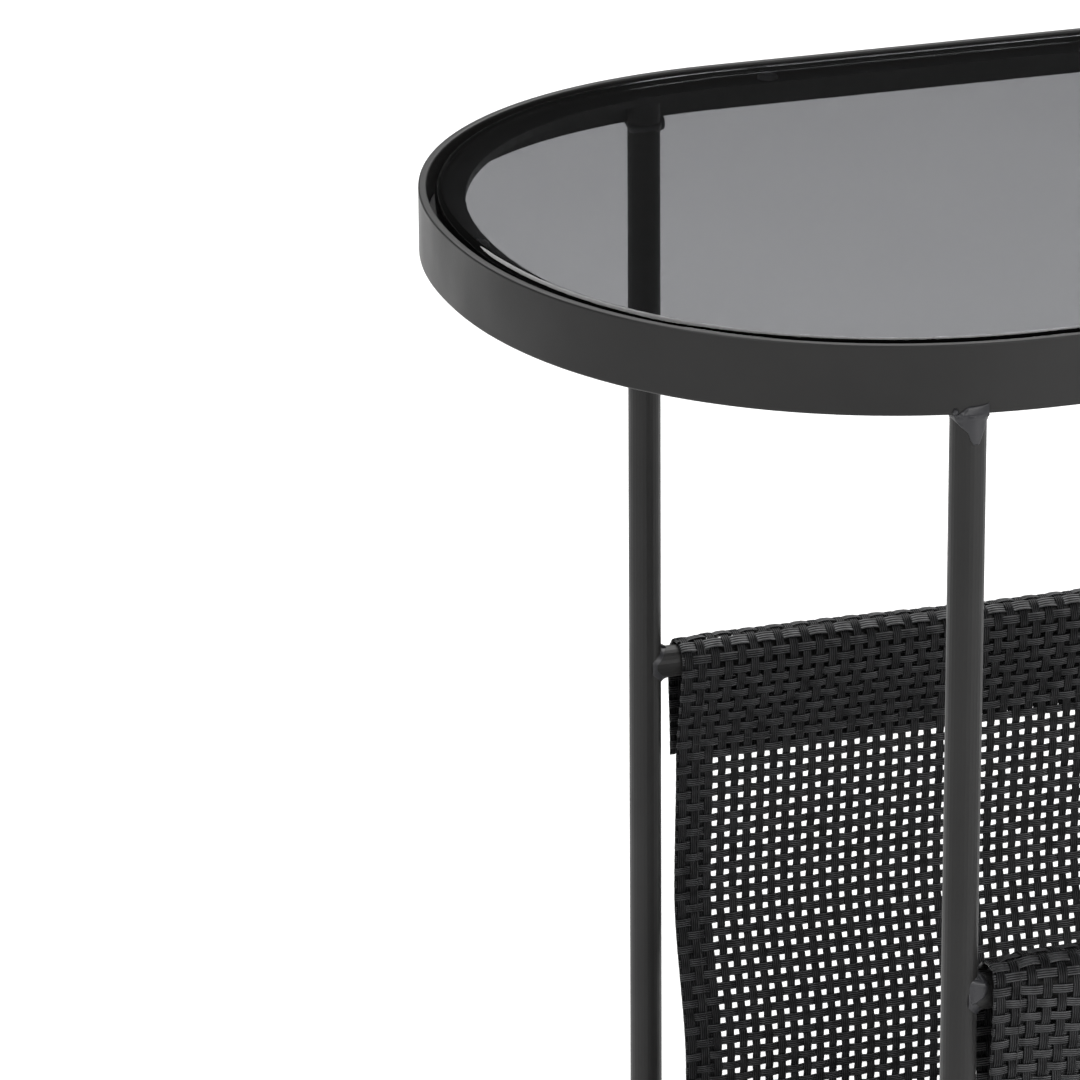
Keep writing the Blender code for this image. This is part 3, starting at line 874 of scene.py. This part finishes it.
class Weave:
    """The plain weave laid over the section: where each warp and each row lies."""

    def __init__(self, section):
        self.section = section
        self.first, self.last = section.first, section.last
        self.rows = round((self.last - self.first) / ROW_PITCH - sum(ROW_PHASES)) + 1
        self.row_pitch = (self.last - self.first) / (self.rows - 1 + sum(ROW_PHASES))
        self.warp_pitch = 2 * HALF_WIDTH / (WARPS - 1 + 2 * WARP_PHASE)
        self.fold_run = math.pi * FOLD_RADIUS

    def row_places(self):
        """(arc length, row number, whether it lies in an end hem) of each weft row."""
        places = [(self.first + (j + ROW_PHASES[0]) * self.row_pitch, j, False) for j in range(self.rows)]
        for k in range(END_HEM_ROWS):
            beyond = [self.fold_run + (k + phase + 0.5) * self.row_pitch for phase in ROW_PHASES]
            places.insert(0, (self.first - beyond[0], -1 - k, True))
            places.append((self.last + beyond[1], self.rows + k, True))
        return places

    def warp_places(self):
        """(across, warp number, whether it lies in a side hem) of each warp."""
        places = [(-HALF_WIDTH + (i + WARP_PHASE) * self.warp_pitch, i, False) for i in range(WARPS)]
        for k in range(SIDE_HEM_WARPS):
            beyond = self.fold_run + (k + WARP_PHASE + 0.5) * self.warp_pitch
            places.insert(0, (-HALF_WIDTH - beyond, -1 - k, True))
            places.append((HALF_WIDTH + beyond, WARPS + k, True))
        return places

    def hem_limit(self):
        """How far from the middle the turned-in end is cut clear of the side hems."""
        return HALF_WIDTH - (SIDE_HEM_WARPS + WARP_PHASE) * self.warp_pitch

    def row_samples(self, in_hem):
        """Where a weft row is sampled across the cloth."""
        marks = []
        for across, _, _ in self.warp_places():
            marks += [across - LEVEL_PART * WARP_HALF_WIDTH, across + LEVEL_PART * WARP_HALF_WIDTH]
        if in_hem:
            return np.array(sorted(m for m in marks if abs(m) < self.hem_limit()))
        fold = [HALF_WIDTH + self.fold_run * i / 5 for i in range(6)]
        marks += fold + [-f for f in fold]
        return np.array(sorted(marks))

    def add_row(self, ribbons, s, number, in_hem):
        """One weft ribbon."""
        across = self.row_samples(in_hem)
        lift = -crimp(across + HALF_WIDTH, self.warp_pitch, WARP_PHASE, WARP_HALF_WIDTH, number)
        folded = np.clip((np.abs(across) - HALF_WIDTH + HEM_BLEND) / HEM_BLEND, 0.0, 1.0)
        lift = lift * (1 - folded)
        arc = np.full(len(across), s)
        centre = cloth_point(self.section, across, arc, lift)
        upwards = unit(cloth_point(self.section, across, arc, lift + 1 * MM) - centre)
        sideways = unit(np.cross(unit(np.gradient(centre, axis=0)), upwards))
        from_crown = min(abs(s - crown) for crown in self.section.crowns)
        half_width = WEFT_HALF_WIDTH * (1 + CROWN_SPREAD * (from_crown < CROWN_REACH))
        ribbons.add(centre, sideways, upwards, across, half_width, 0)

    def warp_samples(self, low, high, turned_in):
        """Arc lengths where a warp is sampled between low and high."""
        marks = []
        for s, _, _ in self.row_places():
            marks += [s - LEVEL_PART * WEFT_HALF_WIDTH, s + LEVEL_PART * WEFT_HALF_WIDTH]
        for fold, direction in ((self.first, -1), (self.last, 1)):
            marks += [fold + direction * self.fold_run * i / 6 for i in range(7)]
        if not turned_in:
            low, high = max(low, self.first), min(high, self.last)
        marks = sorted([m for m in marks if low < m < high] + [low, high])
        return np.array(self.refine(marks))

    def refine(self, marks):
        """Add samples where the section bends sharply, and drop those too close together."""
        refined = [marks[0]]
        for mark in marks[1:]:
            if mark - refined[-1] < LEAST_STEP:
                continue
            _, tangent, _, _ = self.section.at(np.array([refined[-1], mark]))
            bend = math.acos(max(-1.0, min(1.0, float(tangent[0] @ tangent[1]))))
            pieces = max(1, math.ceil(bend / BEND_STEP))
            start = refined[-1]
            refined += [start + (mark - start) * i / pieces for i in range(1, pieces + 1)]
        return refined

    def add_warp(self, ribbons, across, number, in_hem, low, high):
        """One warp ribbon between two arc lengths."""
        arc = self.warp_samples(low, high, abs(across) < self.hem_limit())
        lift = crimp(arc - self.first, self.row_pitch, ROW_PHASES[0], WEFT_HALF_WIDTH, number)
        lift = np.where((arc < self.first) | (arc > self.last), 0.0, lift)
        if in_hem:
            lift = lift * HEM_CRIMP
        line = np.full(len(arc), across)
        centre = cloth_point(self.section, line, arc, lift)
        upwards = unit(cloth_point(self.section, line, arc, lift + 1 * MM) - centre)
        sideways = unit(np.cross(upwards, unit(np.gradient(centre, axis=0))))
        ribbons.add(centre, sideways, upwards, arc, WARP_HALF_WIDTH, 1)

    def add_edge(self, ribbons, sign, low, high):
        """The ribbon that the side hem is folded round."""
        arc = self.warp_samples(low, high, False)
        line = np.full(len(arc), sign * (HALF_WIDTH + self.fold_run / 2))
        inwards = np.full(len(arc), EDGE_HALF_WIDTH - EDGE_TUCK)
        centre = cloth_point(self.section, line, arc, inwards)
        sideways = unit(cloth_point(self.section, line, arc, inwards + 1 * MM) - centre)
        upwards = unit(np.cross(unit(np.gradient(centre, axis=0)), sideways))
        ribbons.add(centre, sideways, upwards, arc, EDGE_HALF_WIDTH, 1)

    def panel(self, name, low, high, materials):
        """The whole weave between two arc lengths as one piece."""
        ribbons = RibbonMesh()
        for s, number, in_hem in self.row_places():
            if low <= s < high:
                self.add_row(ribbons, s, number, in_hem)
        for across, number, in_hem in self.warp_places():
            self.add_warp(ribbons, across, number, in_hem, low, high)
        for sign in (-1, 1):
            self.add_edge(ribbons, sign, low, high)
        return finish_piece(name, ribbons.mesh(name), materials, "frame", 50)


def add_stitches(bm, places):
    """A short raised stitch at each of the (start, end, normal) places."""
    for start, end, normal in places:
        direction = (end - start).normalized()
        side = direction.cross(normal).normalized()
        rings = []
        for along, scale, lift in STITCH_SHAPE:
            centre = start.lerp(end, along) + normal * THREAD_RADIUS * lift
            ring = []
            for k in range(STITCH_SIDES):
                a = 2 * math.pi * k / STITCH_SIDES
                offset = (side * math.cos(a) + normal * math.sin(a)) * THREAD_RADIUS * scale
                ring.append(bm.verts.new(centre + offset))
            rings.append(ring)
        for first, second in zip(rings, rings[1:]):
            bridge(bm, first, second)
        bm.faces.new(rings[0])
        bm.faces.new(rings[-1])


def stitch_places(section, low, high, pair_at):
    """(start, end, normal) of the stitches of a seam, where pair_at gives two places on the cloth."""
    places = []
    start = low
    while start + STITCH < high:
        across, arc = pair_at(np.array([start, start + STITCH]))
        ends = cloth_point(section, across, arc, np.full(2, SEAM_FACE))
        raised = cloth_point(section, across, arc, np.full(2, 2 * SEAM_FACE))
        normal = Vector(raised.mean(0) - ends.mean(0)).normalized()
        places.append((Vector(ends[0]), Vector(ends[1]), normal))
        start += STITCH + STITCH_GAP
    return places


def build_stitches(section, thread):
    """A seam along each side hem, and two across the cloth at each end."""
    bm = bmesh.new()
    for sign in (-1, 1):
        across = np.full(2, sign * (HALF_WIDTH - SIDE_SEAM))
        low, high = section.first + SEAM_MARGIN, section.last - SEAM_MARGIN
        add_stitches(bm, stitch_places(section, low, high, lambda pair: (across, pair)))
    flap_seams = (section.first + END_SEAM, section.last - END_SEAM)
    wall_seams = [2 * crown - seam for crown, seam in zip(section.crowns, flap_seams)]
    reach = HALF_WIDTH - SEAM_MARGIN
    for s in (*flap_seams, *wall_seams):
        arc = np.full(2, s)
        add_stitches(bm, stitch_places(section, -reach, reach, lambda pair: (pair, arc)))
    return finish_mesh("sling_stitching", bm, [thread], "frame", 60)


def build_sling(weft, warp, thread):
    """The woven sling in three panels, with its stitching."""
    section = Section()
    weave = Weave(section)
    third = round((weave.last - weave.first) / 3 / weave.row_pitch) * weave.row_pitch
    cuts = [0.0, weave.first + third, weave.last - third, section.length]
    names = ("sling_weave_front", "sling_weave_bottom", "sling_weave_rear")
    panels = [weave.panel(name, low, high, [weft, warp]) for name, low, high in zip(names, cuts, cuts[1:])]
    for panel in panels:
        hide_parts("sling_fabric")
    build_stitches(section, thread)


# Stage ----------------------------------------------------------------------------------------

def build_camera():
    """A long lens from the front left, a little above the table."""
    data = bpy.data.cameras.new("camera")
    data.sensor_width = CAMERA_SENSOR
    data.lens = CAMERA_LENS
    data.clip_start = 0.05
    data.clip_end = 60.0
    camera = bpy.data.objects.new("camera", data)
    turn = Matrix.Rotation(-math.radians(CAMERA_YAW), 4, "Z")
    tilt = Matrix.Rotation(math.pi / 2 - math.radians(CAMERA_PITCH), 4, "X")
    roll = Matrix.Rotation(math.radians(CAMERA_ROLL), 4, "Z")
    camera.matrix_world = Matrix.Translation(CAMERA_PLACE) @ turn @ tilt @ roll
    bpy.context.scene.collection.objects.link(camera)
    bpy.context.scene.camera = camera


def add_softbox(name, place, aim, width, height, power_w):
    """A large rectangular light that faces aim."""
    data = bpy.data.lights.new(name, "AREA")
    data.shape = "RECTANGLE"
    data.size = width
    data.size_y = height
    data.energy = power_w
    light = bpy.data.objects.new(name, data)
    light.location = place
    light.visible_camera = False
    light.rotation_mode = "QUATERNION"
    light.rotation_quaternion = (Vector(aim) - Vector(place)).to_track_quat("-Z", "Y")
    bpy.context.scene.collection.objects.link(light)


def build_floor():
    """A wide white floor."""
    bm = bmesh.new()
    bmesh.ops.create_grid(bm, x_segments=1, y_segments=1, size=FLOOR_HALF_SIZE)
    mesh = bpy.data.meshes.new("floor")
    bm.to_mesh(mesh)
    bm.free()
    floor = bpy.data.objects.new("floor", mesh)
    bpy.context.scene.collection.objects.link(floor)
    paper, _, shader = new_material("floor_paper", PAPER_COLOR, 0.9, Specular_IOR_Level=0.1)
    shader.inputs["Emission Color"].default_value = (1.0, 1.0, 1.0, 1.0)
    shader.inputs["Emission Strength"].default_value = FLOOR_GLOW
    mesh.materials.append(paper)


def build_room():
    """A white room that looks bright to the camera and lights the table dimly."""
    world = bpy.data.worlds.new("room")
    world.use_nodes = True
    bpy.context.scene.world = world
    tree = world.node_tree
    background = tree.nodes["Background"]
    path = tree.nodes.new("ShaderNodeLightPath")
    seen = add_node(tree, "ShaderNodeMix", data_type="FLOAT")
    seen.inputs[2].default_value = ROOM_LIGHT
    seen.inputs[3].default_value = ROOM_SEEN
    tree.links.new(path.outputs["Is Camera Ray"], seen.inputs[0])
    tree.links.new(seen.outputs[0], background.inputs["Strength"])
    background.inputs["Color"].default_value = (1.0, 1.0, 1.0, 1.0)


def build_stage():
    """The floor, the lights and the room, seen without a film look."""
    build_floor()
    for softbox in SOFTBOXES:
        add_softbox(*softbox)
    build_room()
    bpy.context.scene.view_settings.view_transform = "Standard"


def build_all():
    """Every piece, then the stage."""
    coat = powder_coat("powder_coat", COAT_COLOR, low=0.40, high=0.48, specular=0.36)
    bead = powder_coat("weld_coat", WELD_COLOR, low=0.34, high=0.42, specular=0.5, grain=600.0)
    plastic = plain_detail("foot_plastic_look", PLASTIC_COLOR, 0.5, scale=500.0, depth=0.05 * MM)
    silicone = plain_detail("silicone_look", SILICONE_COLOR, 0.35, scale=300.0, depth=0.02 * MM,
                            Transmission_Weight=0.6)
    weft = ribbon_material("weft_ribbon", WEFT_COLOR, roughness=0.38, specular=0.43)
    warp = ribbon_material("warp_ribbon", WARP_COLOR, roughness=0.46, specular=0.21)
    thread = plain_detail("thread_look", THREAD_COLOR, 0.6, scale=1500.0, depth=0.05 * MM)
    build_camera()
    build_band(coat)
    build_glass(smoked_glass())
    dress_cad_nodes({"glass_ledge": coat, "leg_": coat, "sling_rod": coat, "foot_plug": plastic,
                     "glass_bumper": silicone})
    for end in ENDS:
        for side in SIDES:
            build_head_weld(bead, end, side)
            build_rod_weld(bead, end, side)
    build_sling(weft, warp, thread)
    build_stage()


build_all()
